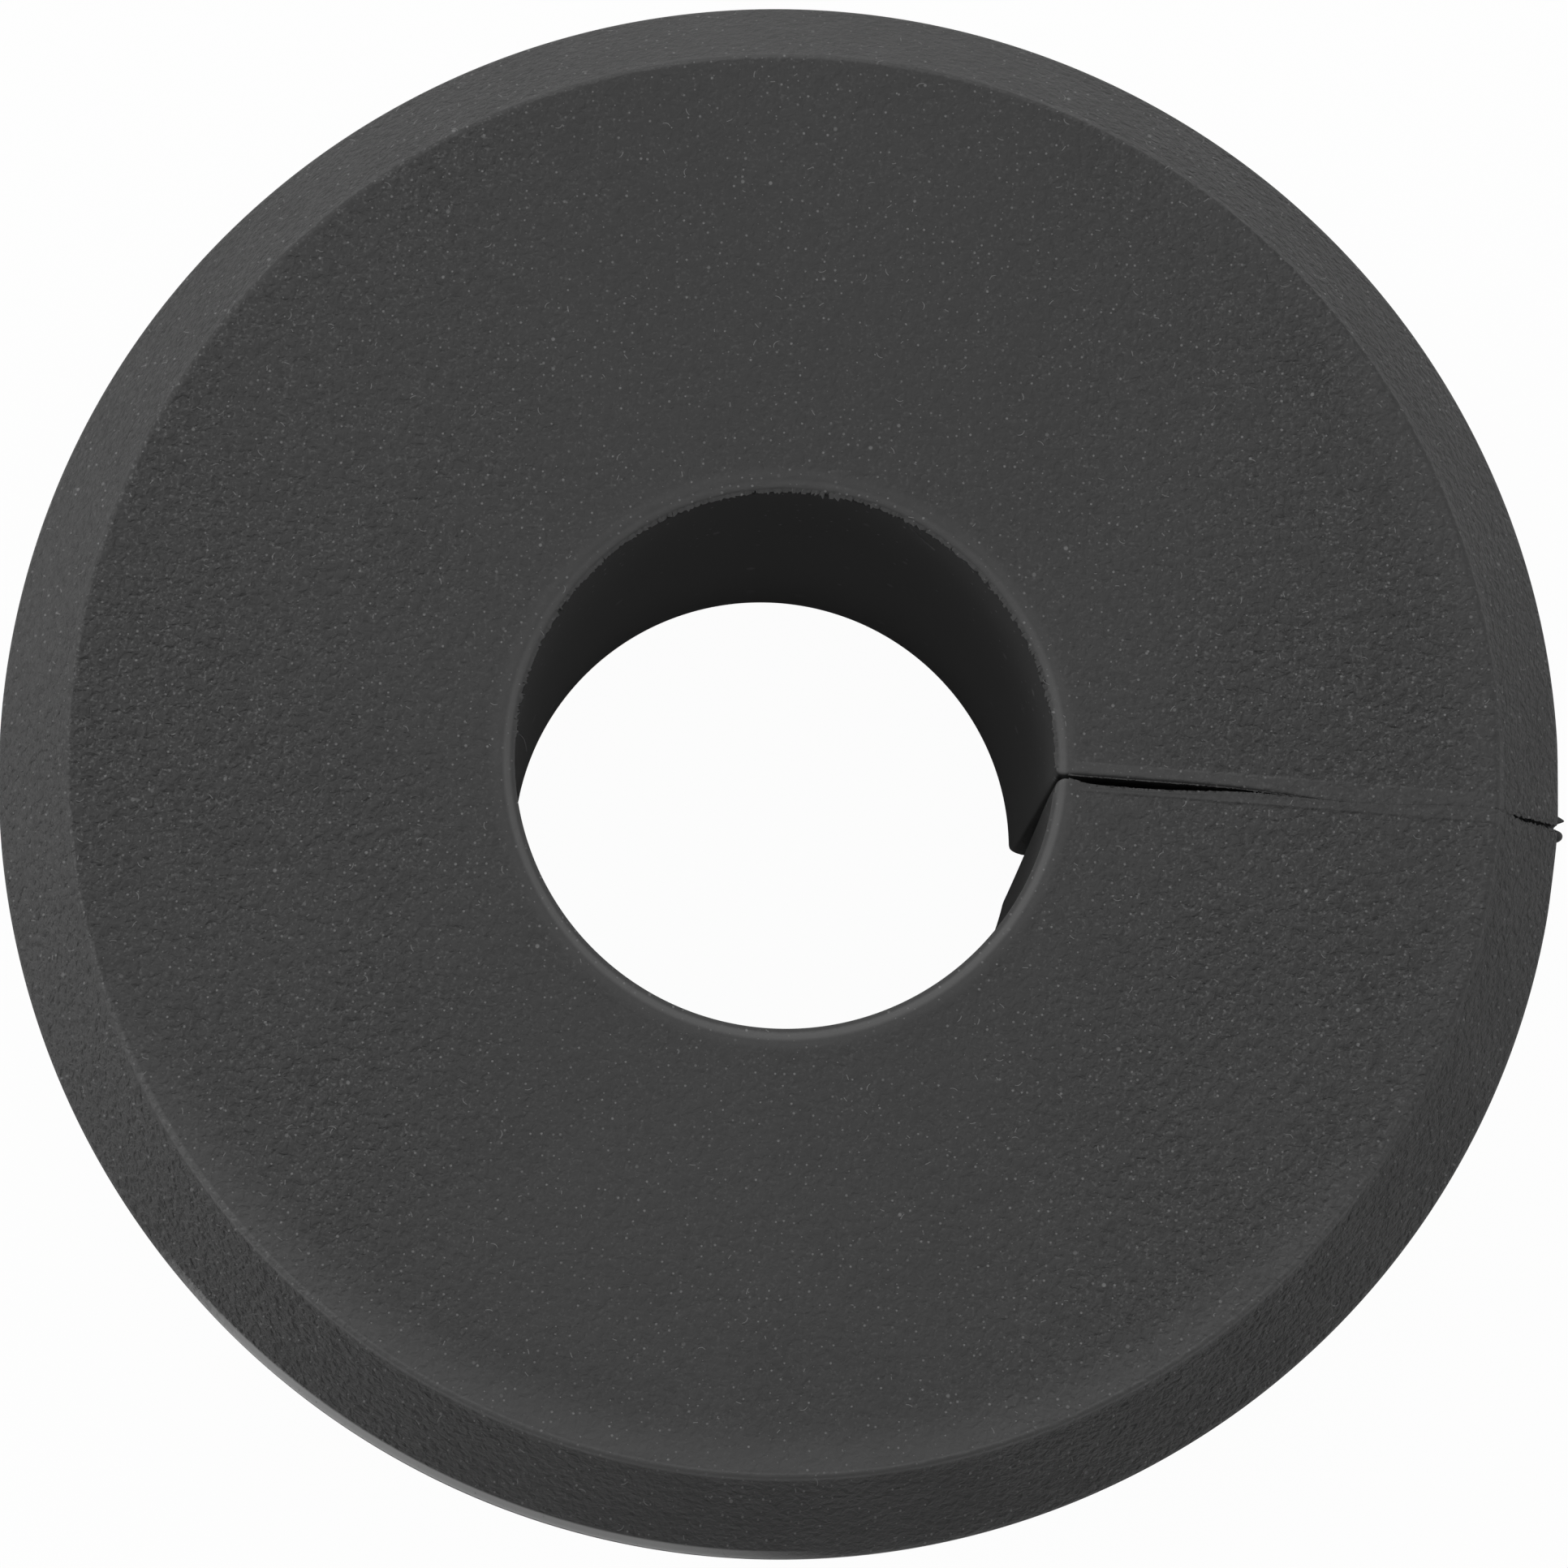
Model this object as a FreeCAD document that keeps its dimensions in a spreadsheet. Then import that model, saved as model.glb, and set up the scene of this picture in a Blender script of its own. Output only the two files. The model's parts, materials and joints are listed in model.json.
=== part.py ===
import FreeCAD, Part
import Sketcher
import math
import os

# A split rubber desk grommet: a bevelled flange that lies on the desk, a sleeve that fills the
# desk hole, a cable bore right through, and one slit that widens into a tapered slot below.
#
# Frame: Z is the bore axis, +Z up. Z = 0 is the desk surface, where the flange's underside
# rests. The slit points along +X. The rubber flexes open at the slit, so the moulding is
# divided where it bends: a web at the back and a jaw on each side.

doc = FreeCAD.newDocument("desk_grommet")

# ---------------------------------------------------------------- driving dimensions, mm
DIMENSIONS = [
    ("flange_radius", 30.0),
    ("face_radius", 27.1),
    ("bevel_drop", 4.8),
    ("rim_height", 2.1),
    ("bore_radius", 10.25),
    ("sleeve_radius", 25.0),
    ("sleeve_length", 23.1),
    ("bore_rim_fillet", 0.7),
    ("face_edge_fillet", 0.9),
    ("sleeve_foot_chamfer", 1.2),
    ("web_half_angle", 45.0),
    ("slit_half_gap", 0.12),
    ("slot_left_half", 0.45),
    ("slot_right_half", 1.15),
    ("slot_start_depth", 2.0),
]

sheet = doc.addObject("Spreadsheet::Sheet", "Dimensions")
for row, (alias, value) in enumerate(DIMENSIONS, start=1):
    sheet.set("A%d" % row, alias)
    sheet.set("B%d" % row, str(value))
    sheet.setAlias("B%d" % row, alias)
row = len(DIMENSIONS) + 1
sheet.set("A%d" % row, "flange_height")
sheet.set("B%d" % row, "=bevel_drop + rim_height")
sheet.setAlias("B%d" % row, "flange_height")
doc.recompute()


def size(alias):
    """A driving dimension, as the sheet holds it."""
    return float(sheet.get(alias))


# ---------------------------------------------------------------- sketch helpers
def origin_plane(body, role):
    return next(f for f in body.Origin.OriginFeatures if f.Role == role)


def add_sketch(body, name, role):
    sketch = body.newObject("Sketcher::SketchObject", name)
    sketch.AttachmentSupport = [(origin_plane(body, role), "")]
    sketch.MapMode = "FlatFace"
    return sketch


def draw_outline(sketch, corners):
    """A closed outline. Each corner is (x, y, x formula, y formula), with magnitudes as formulas.

    A formula of None holds that corner on the sketch's axis."""
    first = sketch.GeometryCount
    count = len(corners)
    for i in range(count):
        start = FreeCAD.Vector(corners[i][0], corners[i][1], 0)
        end = FreeCAD.Vector(corners[(i + 1) % count][0], corners[(i + 1) % count][1], 0)
        sketch.addGeometry(Part.LineSegment(start, end), False)
    for i in range(count):
        join = Sketcher.Constraint("Coincident", first + i, 2, first + (i + 1) % count, 1)
        sketch.addConstraint(join)
    for i, (x, y, x_formula, y_formula) in enumerate(corners):
        pin_coordinate(sketch, first + i, "DistanceX", x, x_formula)
        pin_coordinate(sketch, first + i, "DistanceY", y, y_formula)


def pin_coordinate(sketch, line, direction, value, formula):
    """Holds a line's first point at a distance from the sketch origin, bound to the sheet."""
    if formula is None:
        axis = -2 if direction == "DistanceX" else -1
        sketch.addConstraint(Sketcher.Constraint("PointOnObject", line, 1, axis))
        return
    if value > 0:
        constraint = Sketcher.Constraint(direction, -1, 1, line, 1, value)
    else:
        constraint = Sketcher.Constraint(direction, line, 1, -1, 1, -value)
    index = sketch.addConstraint(constraint)
    sketch.setExpression("Constraints[%d]" % index, formula)


# ---------------------------------------------------------------- the ring every piece is cut from
def ring_profile(sketch):
    """Half section of the moulding: x is the radius and y is the height."""
    bore = size("bore_radius")
    face = size("face_radius")
    flange = size("flange_radius")
    sleeve = size("sleeve_radius")
    top = size("flange_height")
    rim = size("rim_height")
    foot = -size("sleeve_length")
    d = "Dimensions."
    corners = [
        (bore, foot, d + "bore_radius", d + "sleeve_length"),
        (sleeve, foot, d + "sleeve_radius", d + "sleeve_length"),
        (sleeve, 0.0, d + "sleeve_radius", None),
        (flange, 0.0, d + "flange_radius", None),
        (flange, rim, d + "flange_radius", d + "rim_height"),
        (face, top, d + "face_radius", d + "flange_height"),
        (bore, top, d + "bore_radius", d + "flange_height"),
    ]
    draw_outline(sketch, corners)


def ring_edge(shape, radius, height):
    """The name of the round edge that has this radius at this height."""
    for number, edge in enumerate(shape.Edges, start=1):
        if not isinstance(edge.Curve, Part.Circle):
            continue
        at_height = abs(edge.Curve.Center.z - height) < 1e-6
        if at_height and abs(edge.Curve.Radius - radius) < 1e-6:
            return "Edge%d" % number
    raise ValueError("no round edge of radius %g at height %g" % (radius, height))


def round_ring_edge(body, kind, name, radius, height, formula):
    """Rounds or chamfers one round edge of the ring."""
    base = body.Tip
    feature = body.newObject("PartDesign::" + kind, name)
    feature.Base = (base, [ring_edge(base.Shape, radius, height)])
    bound = "Radius" if kind == "Fillet" else "Size"
    feature.setExpression(bound, formula)
    doc.recompute()


def ring_body(label):
    """A body holding the whole uncut ring, with its edges finished."""
    body = doc.addObject("PartDesign::Body", label)
    body.Label = label
    profile = add_sketch(body, label + "_profile", "XZ_Plane")
    ring_profile(profile)
    ring = body.newObject("PartDesign::Revolution", label + "_ring")
    ring.Profile = profile
    ring.ReferenceAxis = (profile, ["V_Axis"])
    ring.Angle = 360.0
    doc.recompute()
    top = size("flange_height")
    foot = -size("sleeve_length")
    d = "Dimensions."
    round_ring_edge(body, "Fillet", label + "_bore_rim", size("bore_radius"), top, d + "bore_rim_fillet")
    round_ring_edge(body, "Fillet", label + "_face_edge", size("face_radius"), top, d + "face_edge_fillet")
    round_ring_edge(body, "Chamfer", label + "_foot", size("sleeve_radius"), foot, d + "sleeve_foot_chamfer")
    return body


# ---------------------------------------------------------------- cuts
def cut(body, name, role, waste):
    """Takes the waste outline away, and stops if that took nothing.

    An outline in XY cuts up and down through the ring. One in YZ cuts along +X only."""
    before = body.Tip.Shape.Volume
    sketch = add_sketch(body, name + "_outline", role)
    draw_outline(sketch, waste)
    pocket = body.newObject("PartDesign::Pocket", name)
    pocket.Profile = sketch
    if role == "XY_Plane":
        pocket.Type = "ThroughAll"
        pocket.SideType = "Symmetric"
    else:
        pocket.Type = "Length"
        pocket.setExpression("Length", "2 * Dimensions.flange_radius")
        pocket.Reversed = True
    doc.recompute()
    if pocket.Shape.Volume >= before:
        raise ValueError(name + " took nothing away")


def web_end(side):
    """The far end of the line, seen from above, where the web meets a jaw. It starts on the axis."""
    reach = 2.0 * size("flange_radius")
    angle = math.radians(size("web_half_angle"))
    along = "2 * Dimensions.flange_radius * cos(Dimensions.web_half_angle)"
    across = "2 * Dimensions.flange_radius * sin(Dimensions.web_half_angle)"
    return (-reach * math.cos(angle), side * reach * math.sin(angle), along, across)


def corner(x, y):
    """A corner well outside the ring: x and y are -1, 0 or 1, and 0 holds it on the axis."""
    reach = 2.0 * size("flange_radius")
    formula = "2 * Dimensions.flange_radius"
    return (x * reach, y * reach, formula if x else None, formula if y else None)


def web_piece():
    """The uncut rubber opposite the slit: the sector that is web_half_angle to each side of -X."""
    body = ring_body("back_web")
    waste = [corner(0, 0), web_end(1), corner(0, 1), corner(1, 1), corner(1, -1), corner(0, -1), web_end(-1)]
    cut(body, "back_web_ends", "XY_Plane", waste)
    return body


def jaw_piece(label, side, slot_alias):
    """One jaw, from the web's end round to the slit. side is +1 for +Y and -1 for -Y."""
    body = ring_body(label)
    waste_back = [corner(0, 0), web_end(side), corner(-1, -side), corner(0, -side)]
    cut(body, label + "_web_face", "XY_Plane", waste_back)

    # in the YZ plane: a narrow slit through the flange, then a slot that widens to the foot
    reach = 2.0 * size("flange_radius")
    gap = side * size("slit_half_gap")
    slot = side * size(slot_alias)
    start = -size("slot_start_depth")
    top = size("flange_height")
    foot = -size("sleeve_length")
    beside = "2 * Dimensions.flange_radius"
    d = "Dimensions."
    waste_front = [
        (-side * reach, foot, beside, d + "sleeve_length"),
        (slot, foot, d + slot_alias, d + "sleeve_length"),
        (gap, start, d + "slit_half_gap", d + "slot_start_depth"),
        (gap, top, d + "slit_half_gap", d + "flange_height"),
        (-side * reach, top, beside, d + "flange_height"),
    ]
    cut(body, label + "_slit_face", "YZ_Plane", waste_front)
    return body


pieces = [
    web_piece(),
    jaw_piece("left_jaw", 1.0, "slot_left_half"),
    jaw_piece("right_jaw", -1.0, "slot_right_half"),
]
doc.recompute()

# ---------------------------------------------------------------- checks and files
for item in doc.Objects:
    if "Invalid" in item.State or "Error" in item.State:
        raise ValueError("%s failed: %s" % (item.Label, item.State))

os.makedirs("parts", exist_ok=True)
for body in pieces:
    if body.Shape.isNull() or not body.Shape.isValid():
        raise ValueError(body.Label + " has no valid shape")
    if len(body.Shape.Solids) != 1:
        raise ValueError(body.Label + " is not one solid")
    body.Shape.exportStep(os.path.join("parts", body.Label + ".step"))
    print("%-10s %9.2f mm3" % (body.Label, body.Shape.Volume))
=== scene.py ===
import json
import math

import bmesh
import bpy
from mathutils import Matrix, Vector


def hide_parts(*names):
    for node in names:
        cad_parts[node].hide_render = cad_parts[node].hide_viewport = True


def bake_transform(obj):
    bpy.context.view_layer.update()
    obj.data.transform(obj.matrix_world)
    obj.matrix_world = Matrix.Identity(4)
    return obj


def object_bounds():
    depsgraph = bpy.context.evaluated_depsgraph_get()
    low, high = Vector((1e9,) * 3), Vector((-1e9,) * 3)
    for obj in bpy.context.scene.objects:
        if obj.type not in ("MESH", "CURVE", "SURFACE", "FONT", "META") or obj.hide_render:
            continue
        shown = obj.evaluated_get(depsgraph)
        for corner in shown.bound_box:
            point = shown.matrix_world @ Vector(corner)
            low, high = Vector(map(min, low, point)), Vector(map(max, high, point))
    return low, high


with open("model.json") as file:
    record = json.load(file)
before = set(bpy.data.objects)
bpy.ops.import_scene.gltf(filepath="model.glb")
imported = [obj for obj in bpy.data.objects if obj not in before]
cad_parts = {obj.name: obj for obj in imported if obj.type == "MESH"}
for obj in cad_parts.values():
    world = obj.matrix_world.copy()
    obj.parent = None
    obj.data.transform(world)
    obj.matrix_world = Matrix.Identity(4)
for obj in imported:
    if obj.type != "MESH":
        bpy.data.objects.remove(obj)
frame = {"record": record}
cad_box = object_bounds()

# A split rubber desk grommet. Z is the bore axis, the desk's surface is at Z = 0, and the slit
# points along +X. The jaw on the +Y side of the slit is the left one. All sizes are in metres.

MM = 0.001
mounts = {mount["name"]: mount for mount in frame["record"]["mounts"]}
BORE = mounts["cable_bore"]["dims"]["r_mm"] * MM
SLEEVE = mounts["desk_hole_sleeve"]["dims"]["r_mm"] * MM
FLANGE = cad_box[1][0]
TOP = cad_box[1][2]
FOOT = cad_box[0][2]

FACE = 27.1 * MM            # where the flat face meets the bevel
RIM = 2.1 * MM              # height of the upright rim
BORE_BAND = 0.8 * MM        # the worn rounding along the bore, measured along the face
BORE_BAND_DEPTH = 0.2 * MM
FACE_FILLET = 0.16 * MM
RIM_FILLET = 0.25 * MM
UNDERSIDE_FILLET = 0.15 * MM
SLEEVE_FILLET = 0.25 * MM
BORE_FOOT_FILLET = 0.12 * MM
FOOT_CHAMFER = 1.2 * MM
LIP_FILLET = 0.1 * MM
LEFT_BAND = 0.5 * MM        # width of the smooth band beside each lip of the slit
RIGHT_BAND = 0.8 * MM
LEFT_RISE = 0.06 * MM       # how far each band stands above the face
RIGHT_RISE = -0.05 * MM
LEFT_SLOT = 0.45 * MM       # how far each slot face stands off the slit's line at the foot
RIGHT_SLOT = 1.15 * MM
FLASH_THICKNESS = 0.03 * MM
NEAR = 0.001 * MM           # two places closer than this are one

END_TURN = math.radians(0.1)    # the section starts and ends this far from the slit's line
LIP_TURN = math.radians(5.5)    # the first and last steps of the ring
RING_STEPS = 232                # the equal steps between them
SLIT_REACH = math.radians(32)   # how far round the ring the slit's opening is eased out
CORNER_ANGLE = math.radians(50)     # edges that fold more than this are corners
SHADE_ANGLE = math.radians(35)      # faces that meet at less than this are shaded as one
CLOSED_FROM = 17 * MM           # where the lips of the slit touch, as radii
CLOSED_TO = 27.6 * MM
LEFT, RIGHT = 0, 1              # the two halves' material slots, while they are one mesh


# ---------------------------------------------------------------- modelling helpers
def start_piece(name):
    """Names the primitive that was just added and opens it for editing, at the origin."""
    piece = bpy.context.object
    piece.name = name
    piece.data.name = name
    bpy.ops.object.transform_apply(location=True, rotation=True, scale=True)
    bpy.ops.object.mode_set(mode="EDIT")
    bpy.ops.mesh.select_mode(type="VERT")
    bpy.ops.mesh.select_all(action="SELECT")
    return piece


def select(piece, domain, test):
    """Selects the vertices, edges or faces for which test is true, and nothing else."""
    bpy.ops.mesh.select_mode(type={"verts": "VERT", "edges": "EDGE", "faces": "FACE"}[domain])
    bpy.ops.mesh.select_all(action="DESELECT")
    mesh = bmesh.from_edit_mesh(piece.data)
    for part in getattr(mesh, domain):
        if test(part):
            part.select_set(True)
    mesh.select_flush_mode()
    bmesh.update_edit_mesh(piece.data)


def middle(part):
    return sum((v.co for v in part.verts), Vector()) / len(part.verts)


def near(a, b):
    return abs(a - b) < NEAR


def angle_of(place):
    return math.atan2(place.y, place.x)


def radius_of(place):
    return math.hypot(place.x, place.y)


def smooth(value, start, end):
    """0 before start, 1 after end and an easy curve between."""
    t = min(max((value - start) / (end - start), 0), 1)
    return t * t * (3 - 2 * t)


def pull(move):
    bpy.ops.mesh.extrude_region_move(TRANSFORM_OT_translate={"value": move})


def add_modifier(piece, kind, **settings):
    """Adds a modifier and applies it."""
    modifier = piece.modifiers.new(kind.title(), kind)
    for name, value in settings.items():
        setattr(modifier, name, value)
    bpy.ops.object.select_all(action="DESELECT")
    bpy.context.view_layer.objects.active = piece
    piece.select_set(True)
    bpy.ops.object.modifier_apply(modifier=modifier.name)


# ---------------------------------------------------------------- the moulding's section
def round_corner(piece, x, z, size, segments):
    """Rounds one corner of the section."""
    select(piece, "verts", lambda v: near(v.co.x, x) and near(v.co.z, z))
    bpy.ops.mesh.bevel(offset=size, segments=segments, affect="VERTICES", profile=0.5)


def cut_across(places, normal):
    """Cuts the whole section by a row of planes, to give it more faces."""
    for place in places:
        bpy.ops.mesh.select_all(action="SELECT")
        bpy.ops.mesh.bisect(plane_co=Vector(normal) * place, plane_no=normal)


def add_section():
    """The moulding's half section, as a filled sheet standing on the slit's line."""
    bpy.ops.object.select_all(action="DESELECT")
    middle_x = (BORE + SLEEVE) / 2
    bpy.ops.mesh.primitive_plane_add(
        size=RIM, location=(middle_x, 0, RIM / 2), rotation=(math.pi / 2, 0, 0)
    )
    piece = start_piece("moulding")
    wide = (SLEEVE - BORE) / RIM
    bpy.ops.transform.resize(value=(wide, 1, 1), center_override=(middle_x, 0, 0))

    # the overhang, then the block under the face, then the bevel, then the sleeve
    select(piece, "edges", lambda e: near(middle(e).x, SLEEVE))
    pull((FLANGE - SLEEVE, 0, 0))
    select(piece, "edges", lambda e: near(middle(e).z, RIM))
    pull((0, 0, TOP - RIM))
    select(piece, "verts", lambda v: near(v.co.z, TOP) and near(v.co.x, FLANGE))
    bpy.ops.transform.translate(value=(FACE - FLANGE, 0, 0))
    select(piece, "edges", lambda e: near(middle(e).z, 0) and middle(e).x < SLEEVE)
    pull((0, 0, FOOT))

    # the bore's rounding is wide and shallow, so that it ends in a crisp edge
    round_corner(piece, BORE, TOP, BORE_BAND, 8)
    select(piece, "verts", lambda v: v.co.x < BORE + BORE_BAND + NEAR and v.co.z > TOP - BORE_BAND - NEAR)
    bpy.ops.transform.resize(value=(1, 1, BORE_BAND_DEPTH / BORE_BAND), center_override=(0, 0, TOP))

    round_corner(piece, FACE, TOP, FACE_FILLET, 6)
    round_corner(piece, FLANGE, RIM, RIM_FILLET, 4)
    round_corner(piece, FLANGE, 0, UNDERSIDE_FILLET, 3)
    round_corner(piece, SLEEVE, 0, SLEEVE_FILLET, 3)
    round_corner(piece, BORE, FOOT, BORE_FOOT_FILLET, 2)
    round_corner(piece, SLEEVE, FOOT, FOOT_CHAMFER, 1)
    round_corner(piece, SLEEVE, FOOT + FOOT_CHAMFER, SLEEVE_FILLET, 3)
    round_corner(piece, SLEEVE - FOOT_CHAMFER, FOOT, SLEEVE_FILLET, 3)

    over_face = [BORE + BORE_BAND + 0.25 * MM + step * 1.5 * MM for step in range(11)]
    cut_across([BORE + 0.2 * MM, BORE + 0.5 * MM] + over_face, (1, 0, 0))
    down_sleeve = [FOOT + FOOT_CHAMFER + 0.6 * MM + step * 2 * MM for step in range(11)]
    cut_across(down_sleeve + [RIM / 2] + [RIM + step * 1.2 * MM for step in (1, 2, 3)], (0, 0, 1))
    return piece


# ---------------------------------------------------------------- the ring and its slit
def turn(angle):
    bpy.ops.transform.rotate(
        value=-angle, orient_axis="Z", center_override=(0, 0, 0), orient_type="GLOBAL"
    )


def spin(angle, steps):
    bpy.ops.mesh.spin(
        steps=steps, angle=angle, center=(0, 0, 0), axis=(0, 0, -1), use_auto_merge=False
    )


def cut_beside_slit(piece, side, away):
    """Cuts the ring's first step, all round the section, along a line beside the slit."""

    def in_first_step(face):
        angle = side * angle_of(face.calc_center_median())
        return END_TURN * 1.01 < angle < LIP_TURN

    select(piece, "faces", in_first_step)
    bpy.ops.mesh.bisect(plane_co=(0, side * away, 0), plane_no=(0, 1, 0))


def round_lip(piece, side):
    """Rounds one slit face's edge along the bore, the face, the bevel and the rim."""

    def on_lip(edge):
        place = middle(edge)
        if abs(side * angle_of(place) - END_TURN) > END_TURN / 2 or place.x < 0:
            return False
        if len(edge.link_faces) != 2 or edge.calc_face_angle() < CORNER_ANGLE:
            return False
        on_bore = radius_of(place) < BORE + 0.05 * MM and place.z > FOOT + 0.2 * MM
        return on_bore or (place.z > 0.2 * MM and radius_of(place) > BORE + 0.01 * MM)

    select(piece, "edges", on_lip)
    bpy.ops.mesh.bevel(offset=LIP_FILLET, segments=2, affect="EDGES", profile=0.5)


def left_lip(radius):
    """How far the left lip of the hand-cut slit stands off the straight line, towards +Y."""
    by_bore = 0.225 * (1 - smooth(radius, 16 * MM, 22 * MM))
    by_rim = 0.2 * smooth(radius, 22 * MM, 25.5 * MM) + 0.13 * smooth(radius, 27.5 * MM, FLANGE)
    return (by_bore + by_rim) * MM


def lip_gap(radius, z):
    """The gap between the lips: a long lens by the bore and a short one down the bevel."""
    closing = 1 - smooth(radius, 13.5 * MM, 20 * MM)
    by_bore = closing * (0.09 + 0.21 * smooth(radius, BORE + 0.3 * MM, 11.8 * MM))
    by_rim = 0.2 * smooth(radius, 27.2 * MM, 28.4 * MM) * smooth(z, RIM / 2, RIM)
    return (0.004 + by_bore + by_rim) * MM


def slit_face(side, radius, z):
    """The place, along Y, of one face of the slit, which opens into a slot down the sleeve."""
    depth = min(max((RIM - z) / (RIM - FOOT), 0), 1)
    if side > 0:
        return left_lip(radius) * (1 - depth) + LEFT_SLOT * depth
    return (left_lip(radius) - lip_gap(radius, z)) * (1 - depth) - RIGHT_SLOT * depth


def corner_round(side, radius, z):
    """How far the rounded corner between the bore and a slit face draws that face back."""
    size = 0.45 * MM if side < 0 else (0.2 + 0.25 * smooth(-z, -TOP, 0)) * MM
    inside = min(max((BORE + size - radius) / size, 0), 1)
    return size * (1 - math.sqrt(1 - inside * inside))


def surface_height(radius):
    """The height of the face, or of the bevel outside it."""
    slope = (TOP - RIM) / (FLANGE - FACE)
    return TOP - max(radius - FACE, 0) * slope


def open_slit(piece):
    """Moves the two ends of the ring onto the faces of the slit and eases the rest after them."""
    first_half = LIP_TURN / 2
    for vert in piece.data.vertices:
        place = vert.co
        angle, radius = angle_of(place), radius_of(place)
        side = 1 if angle > 0 else -1
        away = abs(angle)
        if away > SLIT_REACH:
            continue
        if away < END_TURN + LIP_TURN:
            # a cut across the first step lies on its chord, so it goes back onto the circle
            radius *= math.cos(away - END_TURN - first_half) / math.cos(first_half)
        beside = radius * (away - END_TURN)
        wanted = side * math.asin(slit_face(side, radius, place.z) / radius)
        away += (wanted - END_TURN) * (1 - smooth(away, END_TURN, SLIT_REACH))
        drawn_back = corner_round(side, radius, place.z) * (1 - smooth(beside, 0, RIGHT_BAND))
        away += drawn_back / radius
        z = place.z
        closed = smooth(radius, CLOSED_FROM, 20 * MM) * (1 - smooth(radius, 27 * MM, CLOSED_TO))
        if beside < 2 * LIP_FILLET:
            sunk = max(min(surface_height(radius) - z, LIP_FILLET), 0) if z > TOP - 0.3 * MM else 0
            z += 0.95 * closed * sunk
        if z > TOP - NEAR:
            level = 1 - 0.85 * closed
            if side > 0:
                z += level * LEFT_RISE * (1 - smooth(beside, 0, LEFT_BAND))
            else:
                z += level * RIGHT_RISE * (1 - smooth(beside, 0.6 * RIGHT_BAND, RIGHT_BAND))
        vert.co = (radius * math.cos(away), side * radius * math.sin(away), z)


def add_moulding():
    """The whole ring, cut through at the slit, with each half's faces in a slot of its own."""
    piece = add_section()
    bpy.ops.mesh.select_all(action="SELECT")
    turn(END_TURN)
    spin(LIP_TURN, 1)
    spin(2 * (math.pi - END_TURN - LIP_TURN), RING_STEPS)
    spin(LIP_TURN, 1)
    for side, band in ((1, LEFT_BAND), (-1, RIGHT_BAND)):
        cut_beside_slit(piece, side, band)
        cut_beside_slit(piece, side, band * 0.6)
        round_lip(piece, side)
    bpy.ops.object.mode_set(mode="OBJECT")
    for face in piece.data.polygons:
        face.material_index = LEFT if face.center.y > 0 else RIGHT
    open_slit(piece)

    def on_closed_lip(edge):
        place = middle(edge)
        if not CLOSED_FROM < place.x < CLOSED_TO or abs(place.y) > 0.6 * MM or place.z < TOP - 0.6 * MM:
            return False
        return len(edge.link_faces) == 2 and edge.calc_face_angle() > CORNER_ANGLE

    bpy.ops.object.mode_set(mode="EDIT")
    select(piece, "edges", on_closed_lip)
    bpy.ops.transform.edge_crease(value=1)
    bpy.ops.object.mode_set(mode="OBJECT")
    add_modifier(piece, "SUBSURF", levels=1, render_levels=1)
    return piece


def half_of(piece, name, slot):
    """A copy of the half of the moulding whose faces are in one slot, closed at the back."""
    bpy.ops.object.select_all(action="DESELECT")
    half = piece.copy()
    half.data = piece.data.copy()
    half.name = name
    half.data.name = name
    bpy.context.collection.objects.link(half)
    bpy.context.view_layer.objects.active = half
    half.select_set(True)
    bpy.ops.object.mode_set(mode="EDIT")
    select(half, "faces", lambda f: f.material_index != slot)
    bpy.ops.mesh.delete(type="FACE")
    select(half, "edges", lambda e: e.is_boundary)
    bpy.ops.mesh.edge_face_add()
    bpy.ops.object.mode_set(mode="OBJECT")
    for face in half.data.polygons:
        face.material_index = 0
    bpy.ops.object.shade_smooth_by_angle(angle=SHADE_ANGLE)
    return half


# ---------------------------------------------------------------- flash left by the mould and the knife
def tear(piece, test, amount, seed):
    """Leaves the chosen vertices torn, by a random move of each."""
    select(piece, "verts", test)
    bpy.ops.transform.vertex_random(offset=amount, uniform=0, normal=0, seed=seed)


def add_bore_flash(side):
    """Half of the torn fin along the bore's upper edge."""
    bpy.ops.object.select_all(action="DESELECT")
    fin_height = TOP - 0.125 * MM
    bpy.ops.mesh.primitive_cone_add(
        vertices=1150, radius1=BORE - 0.02 * MM, radius2=BORE + 0.16 * MM, depth=0.04 * MM,
        end_fill_type="NOTHING", location=(0, 0, fin_height),
    )
    piece = start_piece("bore_flash")

    def beyond_half(face):
        place = face.calc_center_median()
        return side * place.y < (0.5 * MM if place.x > 0 else 0)

    def frayed(vert):
        angle = angle_of(vert.co)
        return radius_of(vert.co) < BORE and math.sin(5 * angle) + math.sin(17 * angle + 1) > 1.3

    select(piece, "faces", beyond_half)
    bpy.ops.mesh.delete(type="FACE")
    if side > 0:
        tear(piece, frayed, 0.2 * MM, 31)
        tear(piece, lambda v: radius_of(v.co) < BORE + 0.08 * MM, 0.11 * MM, 5)
    select(piece, "verts", lambda v: radius_of(v.co) < BORE + 0.14 * MM)
    bpy.ops.transform.resize(value=(1, 1, 0.2), center_override=(0, 0, fin_height - 0.02 * MM))
    bpy.ops.object.mode_set(mode="OBJECT")
    add_modifier(piece, "SOLIDIFY", thickness=FLASH_THICKNESS, offset=0)
    return piece


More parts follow.
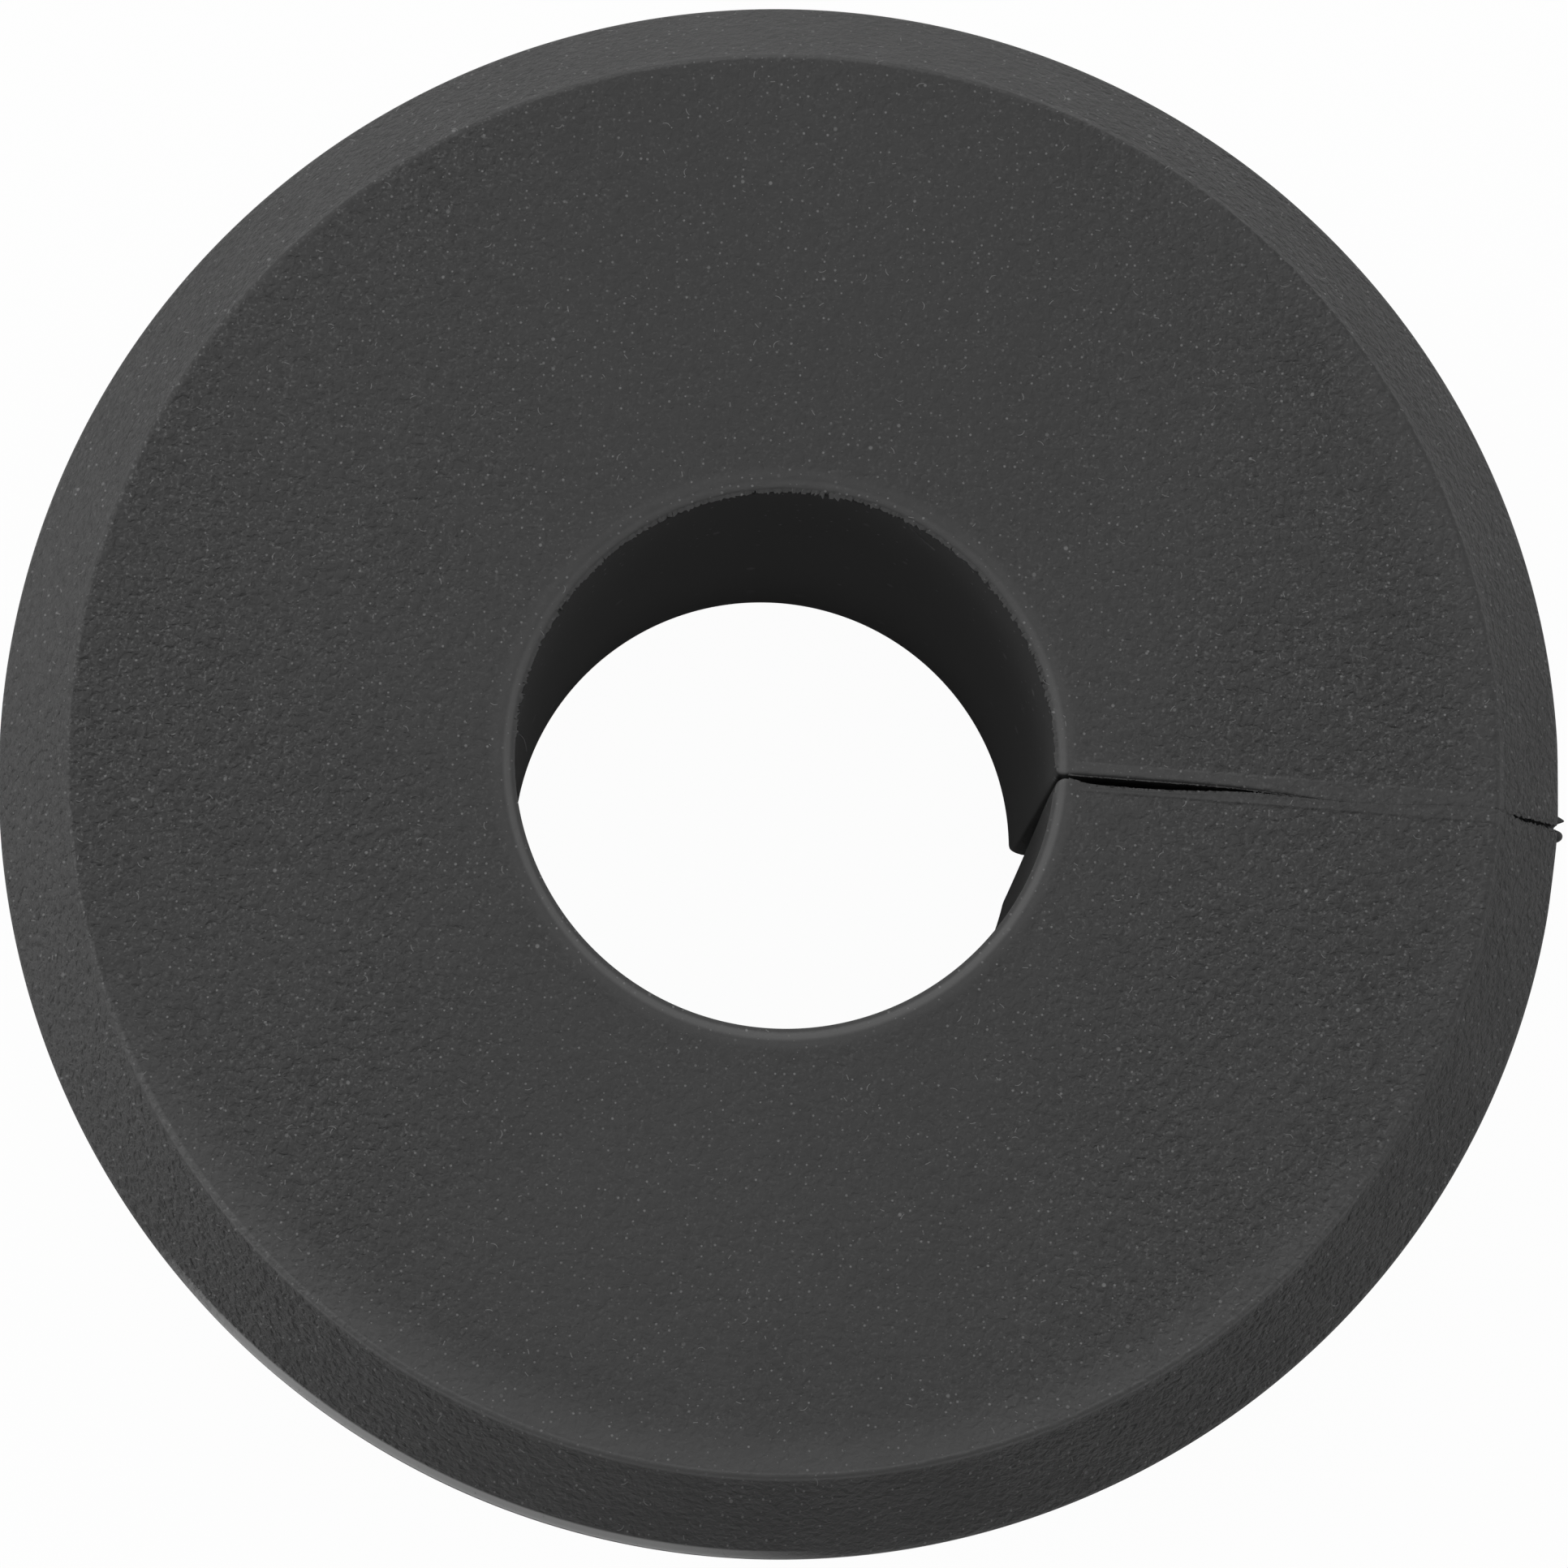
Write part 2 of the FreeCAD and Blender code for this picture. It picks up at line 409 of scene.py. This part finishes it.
def add_lip_flash(side):
    """The torn fin along one lip of the slit, from the bore to the rim."""
    bpy.ops.object.select_all(action="DESELECT")
    start, end = BORE + 0.5 * MM, FLANGE - 0.15 * MM
    bpy.ops.mesh.primitive_grid_add(
        x_subdivisions=480, y_subdivisions=2, size=1, location=((start + end) / 2, 0, TOP)
    )
    bpy.context.object.scale = (end - start, 0.12 * MM, 1)
    piece = start_piece("lip_flash")
    tear(piece, lambda v: side * v.co.y < -0.05 * MM, 0.07 * MM, 20 + side)
    bpy.ops.object.mode_set(mode="OBJECT")
    for vert in piece.data.vertices:
        x, y, z = vert.co
        height = surface_height(x) - 0.05 * MM
        down_bevel = smooth(x, 24 * MM, 27 * MM)
        into_gap = (0.01 + 0.025 * down_bevel) * MM
        torn = y + side * 0.06 * MM
        if side * y < 0:
            torn *= 0.4 + 0.6 * down_bevel
        vert.co = (x, slit_face(side, x, height) + torn - side * into_gap, z - TOP + height)
    add_modifier(piece, "SOLIDIFY", thickness=FLASH_THICKNESS, offset=0)
    return piece


def add_nib(side, place, size, tip):
    """A drop of flash on the rim beside the slit, drawn out to a tip."""
    bpy.ops.object.select_all(action="DESELECT")
    bpy.ops.mesh.primitive_cube_add(size=1, location=place, scale=size)
    piece = start_piece("nib")
    outer = place[0] + size[0] / 2
    select(piece, "faces", lambda f: near(f.calc_center_median().x, outer))
    bpy.ops.transform.resize(value=(1, tip, tip), center_override=(outer, place[1], place[2]))
    bpy.ops.transform.translate(value=(0, -side * 0.03 * MM, 0.05 * MM))
    select(piece, "faces", lambda f: near(f.calc_center_median().x, place[0] - size[0] / 2))
    bpy.ops.mesh.inset(thickness=0.02 * MM)
    bpy.ops.object.mode_set(mode="OBJECT")
    add_modifier(piece, "SUBSURF", levels=3, render_levels=3)
    return piece


def add_thread(points, thickness):
    """A thread of flash that hangs from the bore's edge, along (radius, angle, height) points."""
    bpy.ops.object.select_all(action="DESELECT")
    bpy.ops.curve.primitive_nurbs_path_add(location=(0, 0, 0))
    piece = bpy.context.object
    spline = piece.data.splines[0]
    spline.points.add(max(len(points) - len(spline.points), 0))
    while len(spline.points) > len(points):
        points = points + [points[-1]]
    for point, (radius, degrees, height) in zip(spline.points, points):
        angle = math.radians(degrees)
        point.co = (radius * math.cos(angle), radius * math.sin(angle), height, 1)
    piece.data.bevel_depth = thickness / 2
    piece.data.bevel_resolution = 2
    piece.data.use_fill_caps = True
    bpy.ops.object.convert(target="MESH")
    bpy.context.object.name = "thread"
    return bpy.context.object


def join(piece, parts):
    """Makes the parts one mesh with the piece."""
    bpy.ops.object.select_all(action="DESELECT")
    for part in parts:
        part.select_set(True)
    piece.select_set(True)
    bpy.context.view_layer.objects.active = piece
    bpy.ops.object.join()
    bpy.ops.object.shade_smooth_by_angle(angle=SHADE_ANGLE)


# ---------------------------------------------------------------- node helpers
def add_node(tree, kind, inputs=None, **settings):
    """Adds a node, sets it up and fills its inputs with values or links."""
    node = tree.nodes.new(kind)
    for name, value in settings.items():
        setattr(node, name, value)
    for name, value in (inputs or {}).items():
        if isinstance(value, bpy.types.NodeSocket):
            tree.links.new(value, node.inputs[name])
        else:
            node.inputs[name].default_value = value
    return node


def calc(tree, operation, *values):
    return add_node(tree, "ShaderNodeMath", dict(enumerate(values)), operation=operation).outputs[0]


def times(tree, value, *others):
    """The product of two or more values."""
    for other in others:
        value = calc(tree, "MULTIPLY", value, other)
    return value


def calc_vector(tree, operation, *values):
    node = add_node(tree, "ShaderNodeVectorMath", dict(enumerate(values)), operation=operation)
    return node.outputs["Value" if operation == "LENGTH" else "Vector"]


def ramp(tree, value, start, end, low=0.0, high=1.0):
    """low before start, high after end and a smooth step between. start may be above end."""
    low, high, start, end = (low, high, start, end) if start < end else (high, low, end, start)
    inputs = {"Value": value, "From Min": start, "From Max": end, "To Min": low, "To Max": high}
    return add_node(tree, "ShaderNodeMapRange", inputs, interpolation_type="SMOOTHSTEP").outputs["Result"]


def noise(tree, place, scale, detail=2.0, roughness=0.5, distortion=0.0):
    inputs = {
        "Vector": place, "Scale": scale, "Detail": detail, "Roughness": roughness, "Distortion": distortion
    }
    return add_node(tree, "ShaderNodeTexNoise", inputs)


def start_group(name, inputs, outputs):
    """An empty node group. Inputs and outputs are given as names and socket kinds."""
    group = bpy.data.node_groups.new(name, "ShaderNodeTree")
    for in_out, sockets in (("INPUT", inputs), ("OUTPUT", outputs)):
        for label, kind in sockets.items():
            group.interface.new_socket(label, in_out=in_out, socket_type="NodeSocket" + kind)
    entry = group.nodes.new("NodeGroupInput")
    return group, entry.outputs, group.nodes.new("NodeGroupOutput")


def finish_group(group, result, outputs):
    for label, value in outputs.items():
        group.links.new(value, result.inputs[label])
    return group


def use_group(tree, group, inputs):
    return add_node(tree, "ShaderNodeGroup", inputs, node_tree=group).outputs


# ---------------------------------------------------------------- effects
def zones_group():
    """Masks of the moulding's worn edges and of its bore, by radius and height, and of where light, shade and
    a reflection are painted on.
    """
    names = (
        "Bore Edge", "Lips", "Face Edge", "Bevel", "Bore Wall", "Rim", "Top Side", "Bore Line", "Face Corner"
    )
    kinds = {name: "Float" for name in names}
    group, given, result = start_group("zones", {"Place": "Vector"}, kinds)
    parts = add_node(group, "ShaderNodeSeparateXYZ", {0: given["Place"]}).outputs
    flat = calc_vector(group, "MULTIPLY", given["Place"], (1, 1, 0))
    radius = calc_vector(group, "LENGTH", flat)
    upper = ramp(group, parts["Z"], TOP - 1 * MM, TOP - 0.6 * MM)
    on_face = ramp(group, parts["Z"], TOP - 0.5 * MM, TOP - 0.3 * MM)

    bore_edge = times(group, ramp(group, radius, 11.3 * MM, 10.85 * MM), upper)
    # the bore line is paler: partly wear, partly a painted highlight along the bore's edge, stronger on the
    # near side
    line_start = ramp(group, radius, BORE + 0.08 * MM, BORE + 0.22 * MM)
    line_end = ramp(group, radius, BORE + 0.5 * MM, BORE + 0.32 * MM)
    painted_near_side_light = ramp(group, parts["Y"], 8 * MM, -4 * MM, 0.4, 1.0)
    bore_line_wear_and_highlight = times(group, line_start, line_end, painted_near_side_light, upper)
    on_slit = times(group, ramp(group, parts["X"], 9 * MM, 10 * MM), on_face)
    left_band = ramp(group, parts["Y"], 0.82 * MM, 0.68 * MM)
    right_band = ramp(group, parts["Y"], -0.42 * MM, -0.28 * MM)
    fading = ramp(group, radius, 15 * MM, 23 * MM, 1.0, 0.65)
    lips = times(group, left_band, right_band, on_slit, fading)
    # the face's edge is paler at the front and towards +X: partly wear, partly painted light where the edge
    # turns from the lamps
    front_edge = ramp(group, parts["Y"], -8 * MM, -20 * MM)
    along_edge = times(
        group, ramp(group, radius, 24.8 * MM, 27 * MM), ramp(group, radius, 27.26 * MM, 27.14 * MM)
    )
    worn_and_painted_light_part = calc(group, "MAXIMUM", ramp(group, parts["X"], 8 * MM, 24 * MM, 0.0, 0.35), front_edge)
    face_edge_wear_and_painted_light = times(group, along_edge, worn_and_painted_light_part)
    # painted light: the fillet at the face's edge, at the front, is made paler to lift the shade that falls
    # on it
    corner = times(
        group, ramp(group, radius, 26.9 * MM, 27 * MM), front_edge,
        ramp(group, radius, 27.26 * MM, 27.16 * MM),
    )
    above_rim = ramp(group, parts["Z"], RIM - 0.2 * MM, RIM)
    bevel = times(group, ramp(group, radius, 27.1 * MM, 27.4 * MM), above_rim)
    in_bore = calc(group, "SUBTRACT", 1.0, ramp(group, radius, BORE + 0.1 * MM, BORE + 0.3 * MM))
    wall = times(group, in_bore, ramp(group, parts["Z"], TOP - 0.3 * MM, TOP - 0.5 * MM))
    # painted reflection: the rim's front is made pale, as if it reflected the floor
    towards_front = add_node(
        group, "ShaderNodeVectorMath", {0: given["Place"], 1: (-0.35, -0.937, 0)}, operation="DOT_PRODUCT"
    ).outputs["Value"]
    rim = times(
        group, ramp(group, radius, 29.68 * MM, 29.76 * MM), ramp(group, towards_front, 26 * MM, 28.9 * MM),
        ramp(group, parts["Z"], RIM - 0.6 * MM, RIM - 0.3 * MM),
    )
    beyond_face = calc(group, "MAXIMUM", calc(group, "SUBTRACT", radius, FACE), 0.0)
    level = calc(group, "MULTIPLY_ADD", beyond_face, (TOP - RIM) / (FLANGE - FACE), parts["Z"])
    top_side = ramp(group, level, TOP - 0.5 * MM, TOP - 0.3 * MM)
    made = (bore_edge, lips, face_edge_wear_and_painted_light, bevel, wall, rim, top_side, bore_line_wear_and_highlight, corner)
    return finish_group(group, result, dict(zip(names, made)))


def grain_group():
    """The pitted grain of a spark-eroded mould, with the higher pips worn paler and the pits darkened by
    painted shade.
    """
    outputs = {"Height": "Float", "Pips": "Float", "Pits": "Float"}
    group, given, result = start_group("grain", {"Place": "Vector", "Scale": "Float"}, outputs)
    fine = noise(group, given["Place"], given["Scale"], 1.2, 0.45, 0.35).outputs[0]
    wide_scale = times(group, given["Scale"], 0.42)
    wide = noise(group, given["Place"], wide_scale, 2.5, 0.55, 0.4).outputs[0]
    pips = times(group, ramp(group, fine, 0.5, 0.72), ramp(group, wide, 0.4, 0.62, 0.1, 1.0))
    painted_pit_shade = ramp(group, wide, 0.46, 0.3)
    return finish_group(group, result, {"Height": wide, "Pips": pips, "Pits": painted_pit_shade})


def patches_group():
    """Large soft patches, for tone and for how strongly the grain shows."""
    outputs = {"Patches": "Float", "Smudges": "Float"}
    group, given, result = start_group("patches", {"Place": "Vector"}, outputs)
    large = noise(group, given["Place"], 110.0, 3.0, 0.5).outputs[0]
    small = noise(group, given["Place"], 420.0, 4.0, 0.6, 0.6).outputs[0]
    return finish_group(group, result, {
        "Patches": ramp(group, large, 0.38, 0.62), "Smudges": ramp(group, small, 0.3, 0.7)
    })


def specks_group():
    """Round specks, at most one in each cell. Share of the cells have one, and Size is the largest."""
    inputs = {"Place": "Vector", "Scale": "Float", "Share": "Float", "Size": "Float"}
    group, given, result = start_group("specks", inputs, {"Mask": "Float"})
    cells = add_node(
        group, "ShaderNodeTexVoronoi", {"Vector": given["Place"], "Scale": given["Scale"]},
        voronoi_dimensions="2D",
    ).outputs
    chance = add_node(group, "ShaderNodeSeparateColor", {0: cells["Color"]}).outputs
    present = calc(group, "LESS_THAN", chance["Red"], given["Share"])
    size = times(group, calc(group, "MULTIPLY_ADD", chance["Green"], 0.75, 0.25), given["Size"])
    inside = calc(group, "DIVIDE", cells["Distance"], size)
    strength = times(group, present, calc(group, "MULTIPLY_ADD", chance["Blue"], 0.8, 0.2))
    return finish_group(group, result, {"Mask": times(group, ramp(group, inside, 1.0, 0.4), strength)})


def fibres_group():
    """Short curved fibres of lint lying flat on the upper side."""
    inputs = {"Place": "Vector", "Scale": "Float", "Share": "Float", "Thickness": "Float"}
    group, given, result = start_group("fibres", inputs, {"Mask": "Float"})
    cells = add_node(
        group, "ShaderNodeTexVoronoi", {"Vector": given["Place"], "Scale": given["Scale"]},
        voronoi_dimensions="2D",
    ).outputs
    chance = add_node(group, "ShaderNodeSeparateColor", {0: cells["Color"]}).outputs
    flat = calc_vector(group, "MULTIPLY", given["Place"], (1, 1, 0))
    away = calc_vector(group, "SUBTRACT", flat, cells["Position"])
    local = add_node(
        group, "ShaderNodeVectorMath", {0: away, "Scale": given["Scale"]}, operation="SCALE"
    ).outputs["Vector"]
    heading = times(group, chance["Green"], math.tau)
    turned = add_node(
        group, "ShaderNodeVectorRotate", {"Vector": local, "Angle": heading}, rotation_type="Z_AXIS"
    ).outputs[0]
    along = add_node(group, "ShaderNodeSeparateXYZ", {0: turned}).outputs
    curl = calc(group, "MULTIPLY_ADD", chance["Blue"], 5.0, -2.5)
    bowed = calc(group, "MULTIPLY_ADD", times(group, along["X"], along["X"]), curl, along["Y"])
    off = calc(group, "DIVIDE", calc(group, "ABSOLUTE", bowed), given["Thickness"])
    half_length = calc(group, "MULTIPLY_ADD", chance["Blue"], 0.16, 0.06)
    end = calc(group, "DIVIDE", calc(group, "ABSOLUTE", along["X"]), half_length)
    present = calc(group, "LESS_THAN", chance["Red"], given["Share"])
    mask = times(group, ramp(group, off, 1.0, 0.4), ramp(group, end, 1.0, 0.8), present)
    return finish_group(group, result, {"Mask": mask})


# ---------------------------------------------------------------- finishes
def mix_colour(tree, share, a, b):
    return add_node(tree, "ShaderNodeMix", {0: share, 6: a, 7: b}, data_type="RGBA").outputs[2]


def grey(value):
    return (value, value, value, 1)


# tones of the rubber, of what lies on it and of the painted light and shade, as the share of light sent back
SMUDGE_TONES = (0.0245, 0.0312)
# painted light: the near side of the face is made paler
NEAR_SIDE_PAINTED_LIGHT_TONE = 0.037
PATCH_TONE = 0.021
HANDLED_TONE = 0.041        # along the bore's edge and the lips of the slit, and faintly along the face's edge, where it is partly painted light
# painted shade: the grain's pits are made darker
PIT_PAINTED_SHADE_TONE = 0.018
PIP_TONE = 0.085
# partly wear, partly painted light along the face's edge
FACE_EDGE_WEAR_AND_PAINTED_LIGHT_TONE = 0.062
# painted light on the fillet at the face's edge
FACE_CORNER_PAINTED_LIGHT_TONE = 0.085
# partly wear, partly a painted highlight along the bore's edge
BORE_LINE_WEAR_AND_HIGHLIGHT_TONE = 0.09
# a painted reflection on the rim's front
RIM_PAINTED_REFLECTION_TONE = 0.27
WALL_AND_PAINTED_SHADE_TONES = (0.03, 0.007)      # of the bore's wall at its top, and of the painted shade down in it
CRUMB_TONE = 0.3
FIBRE_TONE = 0.16
DUST_TONE = 0.18
GRAIN_DEPTH = 0.13 * MM
GRAIN_SCALE = 7400.0
WALL_DEPTH = 16 * MM            # where the painted shade on the bore's wall is darkest, below the face


def speckle(tree, specks, place, scale, share, size):
    given = {"Place": place, "Scale": scale, "Share": share, "Size": size}
    return use_group(tree, specks, given)["Mask"]


def dust_and_fibres(tree, specks, place, top_side):
    """Masks of the dust and of the lint on the upper side."""
    fine = speckle(tree, specks, place, 2700.0, 0.6, 0.19)
    coarse = speckle(tree, specks, place, 900.0, 0.14, 0.1)
    lint = {"Place": place, "Scale": 1250.0, "Share": 0.13, "Thickness": 0.032}
    fibres = use_group(tree, fibres_group(), lint)["Mask"]
    return times(tree, calc(tree, "MAXIMUM", fine, coarse), top_side), times(tree, fibres, top_side)


def wall_colour(tree, specks, parts):
    """The bore's wall: smooth, with painted shade that darkens it further down, and crumbs on its upper part.
    """
    around = times(tree, calc(tree, "ARCTAN2", parts["Y"], parts["X"]), BORE)
    down = times(tree, parts["Z"], 0.5)
    place = add_node(tree, "ShaderNodeCombineXYZ", {0: around, 1: down}).outputs[0]
    crumbs = speckle(tree, specks, place, 1500.0, 0.5, 0.13)
    crumbs = times(tree, crumbs, ramp(tree, parts["Z"], TOP - WALL_DEPTH, TOP - 5 * MM))
    blots = speckle(tree, specks, place, 520.0, 0.25, 0.16)
    crumbs = calc(tree, "MAXIMUM", crumbs, times(tree, blots, 0.3))
    # painted shade: the wall darkens further down
    painted_depth_shade = ramp(tree, parts["Z"], TOP, TOP - WALL_DEPTH)
    bare = mix_colour(tree, painted_depth_shade, grey(WALL_AND_PAINTED_SHADE_TONES[0]), grey(WALL_AND_PAINTED_SHADE_TONES[1]))
    return mix_colour(tree, crumbs, bare, grey(CRUMB_TONE))


def add_rubber():
    """Black rubber with a moulded grain, paler worn edges, dust and lint, and painted light, shade and
    reflection.
    """
    material = bpy.data.materials.new("moulded_rubber")
    material.use_nodes = True
    tree = material.node_tree
    shader = tree.nodes["Principled BSDF"]
    place = add_node(tree, "ShaderNodeAttribute", attribute_name="moulded_place").outputs["Vector"]
    parts = add_node(tree, "ShaderNodeSeparateXYZ", {0: place}).outputs
    zones = use_group(tree, zones_group(), {"Place": place})
    patches = use_group(tree, patches_group(), {"Place": place})
    grain = use_group(tree, grain_group(), {"Place": place, "Scale": GRAIN_SCALE})
    specks = specks_group()
    dust, fibres = dust_and_fibres(tree, specks, place, zones["Top Side"])
    upper = calc(tree, "SUBTRACT", 1.0, calc(tree, "MAXIMUM", zones["Bore Wall"], zones["Rim"]))

    # the grain is deep to both sides of the bore, worn down along the edges and gone in the bore
    to_sides = ramp(tree, calc(tree, "ABSOLUTE", parts["X"]), 6 * MM, 20 * MM)
    lively = calc(tree, "MULTIPLY_ADD", patches["Patches"], 0.5, 0.5)
    depth = calc(tree, "MULTIPLY_ADD", times(tree, to_sides, lively), 0.66, 0.36)
    worn = calc(tree, "MAXIMUM", zones["Bore Edge"], zones["Lips"])
    # the face's edge in this mask is partly painted light
    worn = calc(tree, "MAXIMUM", worn, times(tree, zones["Face Edge"], 0.4))
    shown = times(tree, depth, calc(tree, "MULTIPLY_ADD", worn, -0.6, 1.0), upper)
    relief = times(tree, shown, calc(tree, "MULTIPLY_ADD", zones["Bevel"], 1.4, 1.0))
    lying = times(tree, calc(tree, "MAXIMUM", dust, fibres), 0.08)
    height = calc(tree, "MULTIPLY_ADD", grain["Height"], relief, lying)
    bump = add_node(tree, "ShaderNodeBump", {"Height": height, "Strength": 1.0, "Distance": GRAIN_DEPTH})
    tree.links.new(bump.outputs["Normal"], shader.inputs["Normal"])

    # each layer covers the ones before it, by its mask
    # painted light: the near side is made paler in colour
    painted_near_side_light = ramp(tree, parts["Y"], 20 * MM, -24 * MM, 0.0, 0.4)
    pips = times(tree, grain["Pips"], shown, calc(tree, "MULTIPLY_ADD", zones["Bevel"], -0.5, 1.0))
    colour = mix_colour(tree, patches["Smudges"], grey(SMUDGE_TONES[0]), grey(SMUDGE_TONES[1]))
    for mask, tone in (
        (painted_near_side_light, NEAR_SIDE_PAINTED_LIGHT_TONE),
        (times(tree, patches["Patches"], 0.3), PATCH_TONE),
        (times(tree, worn, 0.7), HANDLED_TONE),
        (times(tree, grain["Pits"], relief), PIT_PAINTED_SHADE_TONE),
        (pips, PIP_TONE),
        (times(tree, zones["Face Edge"], 0.6), FACE_EDGE_WEAR_AND_PAINTED_LIGHT_TONE),
        (zones["Face Corner"], FACE_CORNER_PAINTED_LIGHT_TONE),
        (times(tree, zones["Bore Line"], 0.85), BORE_LINE_WEAR_AND_HIGHLIGHT_TONE),
    ):
        colour = mix_colour(tree, mask, colour, grey(tone))
    colour = mix_colour(tree, zones["Bore Wall"], colour, wall_colour(tree, specks, parts))
    colour = mix_colour(tree, zones["Rim"], colour, grey(RIM_PAINTED_REFLECTION_TONE))
    colour = mix_colour(tree, times(tree, fibres, 0.8), colour, grey(FIBRE_TONE))
    colour = mix_colour(tree, times(tree, dust, 0.8), colour, grey(DUST_TONE))
    tree.links.new(colour, shader.inputs["Base Color"])

    smudged = calc(tree, "MULTIPLY_ADD", times(tree, patches["Smudges"], upper), 0.08, 0.5)
    rough = calc(tree, "MULTIPLY_ADD", zones["Rim"], -0.22, smudged)
    tree.links.new(rough, shader.inputs["Roughness"])
    return material


def keep_place(piece):
    """Keeps every vertex's place at rest on the mesh, so that the finish follows the rubber."""
    places = [0.0] * (3 * len(piece.data.vertices))
    piece.data.vertices.foreach_get("co", places)
    kept = piece.data.attributes.new("moulded_place", "FLOAT_VECTOR", "POINT")
    kept.data.foreach_set("vector", places)


# ---------------------------------------------------------------- camera, floor and light
CAMERA_AWAY = 307.5 * MM
CAMERA_BACK = 0.1203        # radians that the camera leans towards the near side, about X
CAMERA_ASIDE = -0.0331      # and about its own Y
SLIT_TURN = math.radians(4.45)
AIM = (-0.048 * MM, -0.945 * MM)
LENS_MM = 186.65
SENSOR_MM = 36
SOFTBOX_AWAY = 0.9
SOFTBOX_SIZE = 0.7


def add_camera():
    data = bpy.data.cameras.new("camera")
    data.lens = LENS_MM
    data.sensor_width = SENSOR_MM
    data.clip_start = 0.01
    camera = bpy.data.objects.new("camera", data)
    bpy.context.collection.objects.link(camera)
    camera.rotation_mode = "YXZ"
    camera.rotation_euler = (CAMERA_BACK, CAMERA_ASIDE, SLIT_TURN)
    turned = camera.rotation_euler.to_matrix()
    camera.location = turned @ Vector((AIM[0], AIM[1], CAMERA_AWAY)) + Vector((0, 0, TOP))
    bpy.context.scene.camera = camera


def add_floor():
    """A pale floor that the camera sees lit up, as on a light table, and that bounces daylight."""
    bpy.ops.object.select_all(action="DESELECT")
    bpy.ops.mesh.primitive_plane_add(size=3, location=(0, 0, FOOT))
    floor = bpy.context.object
    floor.name = "floor"
    material = bpy.data.materials.new("pale_floor")
    material.use_nodes = True
    tree = material.node_tree
    shader = tree.nodes["Principled BSDF"]
    shader.inputs["Base Color"].default_value = grey(0.8)
    shader.inputs["Roughness"].default_value = 0.9
    glow = add_node(tree, "ShaderNodeEmission", {"Color": grey(1.0), "Strength": 1.0})
    seen = times(tree, add_node(tree, "ShaderNodeLightPath").outputs["Is Camera Ray"], 0.97)
    mixed = add_node(tree, "ShaderNodeMixShader", {0: seen, 1: shader.outputs[0], 2: glow.outputs[0]})
    tree.links.new(mixed.outputs[0], tree.nodes["Material Output"].inputs["Surface"])
    floor.data.materials.append(material)


def add_softbox(name, azimuth, elevation, watts):
    """A square area light that looks at the object. Azimuth is counted from +X towards +Y."""
    data = bpy.data.lights.new(name, "AREA")
    data.shape = "SQUARE"
    data.size = SOFTBOX_SIZE
    data.energy = watts
    lamp = bpy.data.objects.new(name, data)
    bpy.context.collection.objects.link(lamp)
    turn_to, rise = math.radians(azimuth), math.radians(elevation)
    away = Vector((math.cos(turn_to) * math.cos(rise), math.sin(turn_to) * math.cos(rise), math.sin(rise)))
    lamp.location = away * SOFTBOX_AWAY
    lamp.rotation_euler = away.to_track_quat("Z", "Y").to_euler()


def add_light():
    world = bpy.data.worlds.new("studio")
    world.use_nodes = True
    tree = world.node_tree
    background = tree.nodes["Background"]
    background.inputs["Color"].default_value = grey(1.0)
    seen = add_node(tree, "ShaderNodeLightPath").outputs["Is Camera Ray"]
    tree.links.new(calc(tree, "MULTIPLY_ADD", seen, 0.99, 0.01), background.inputs["Strength"])
    bpy.context.scene.world = world
    for name, azimuth, elevation, watts in (
        ("back_softbox", 95, 25, 4.0), ("left_softbox", 180, 25, 5.3),
        ("right_softbox", 0, 28, 2.4), ("overhead_softbox", 90, 85, 2.3),
    ):
        add_softbox(name, azimuth, elevation, watts)
    bpy.context.scene.view_settings.view_transform = "Standard"


# ---------------------------------------------------------------- build
moulding = add_moulding()
left = half_of(moulding, "left_rubber", LEFT)
right = half_of(moulding, "right_rubber", RIGHT)
bpy.data.objects.remove(moulding)

hanging = TOP - BORE_BAND_DEPTH
threads = [
    add_thread([
        (10.25 * MM, 68, hanging), (10.1 * MM, 66, hanging - 0.1 * MM), (9.95 * MM, 63.5, hanging - 0.3 * MM),
        (9.95 * MM, 61, hanging - 0.35 * MM), (9.9 * MM, 59, hanging - 0.3 * MM),
    ], 0.06 * MM),
    add_thread([
        (10.3 * MM, 179, hanging), (10.05 * MM, 178.6, hanging + 0.05 * MM), (9.9 * MM, 179.5, hanging),
        (9.8 * MM, 181, hanging - 0.1 * MM), (9.8 * MM, 182.5, hanging - 0.2 * MM),
    ], 0.035 * MM),
]
spike = add_nib(1, (30.0 * MM, 0.6 * MM, 1.7 * MM), (0.6 * MM, 0.6 * MM, 0.6 * MM), 0.1)
drop = add_nib(-1, (30.0 * MM, -0.04 * MM, 1.5 * MM), (0.6 * MM, 0.7 * MM, 0.8 * MM), 0.6)
join(left, [add_bore_flash(1), add_lip_flash(1), spike] + threads)
join(right, [add_bore_flash(-1), add_lip_flash(-1), drop])

rubber = add_rubber()
halves = ((left, "left", 1, ["left_jaw", "back_web"]), (right, "right", -1, ["right_jaw"]))
for piece, body, side, nodes in halves:
    piece.data.materials.clear()
    piece.data.materials.append(rubber)
    keep_place(piece)
    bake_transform(piece)
    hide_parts(*nodes)

add_camera()
add_floor()
add_light()
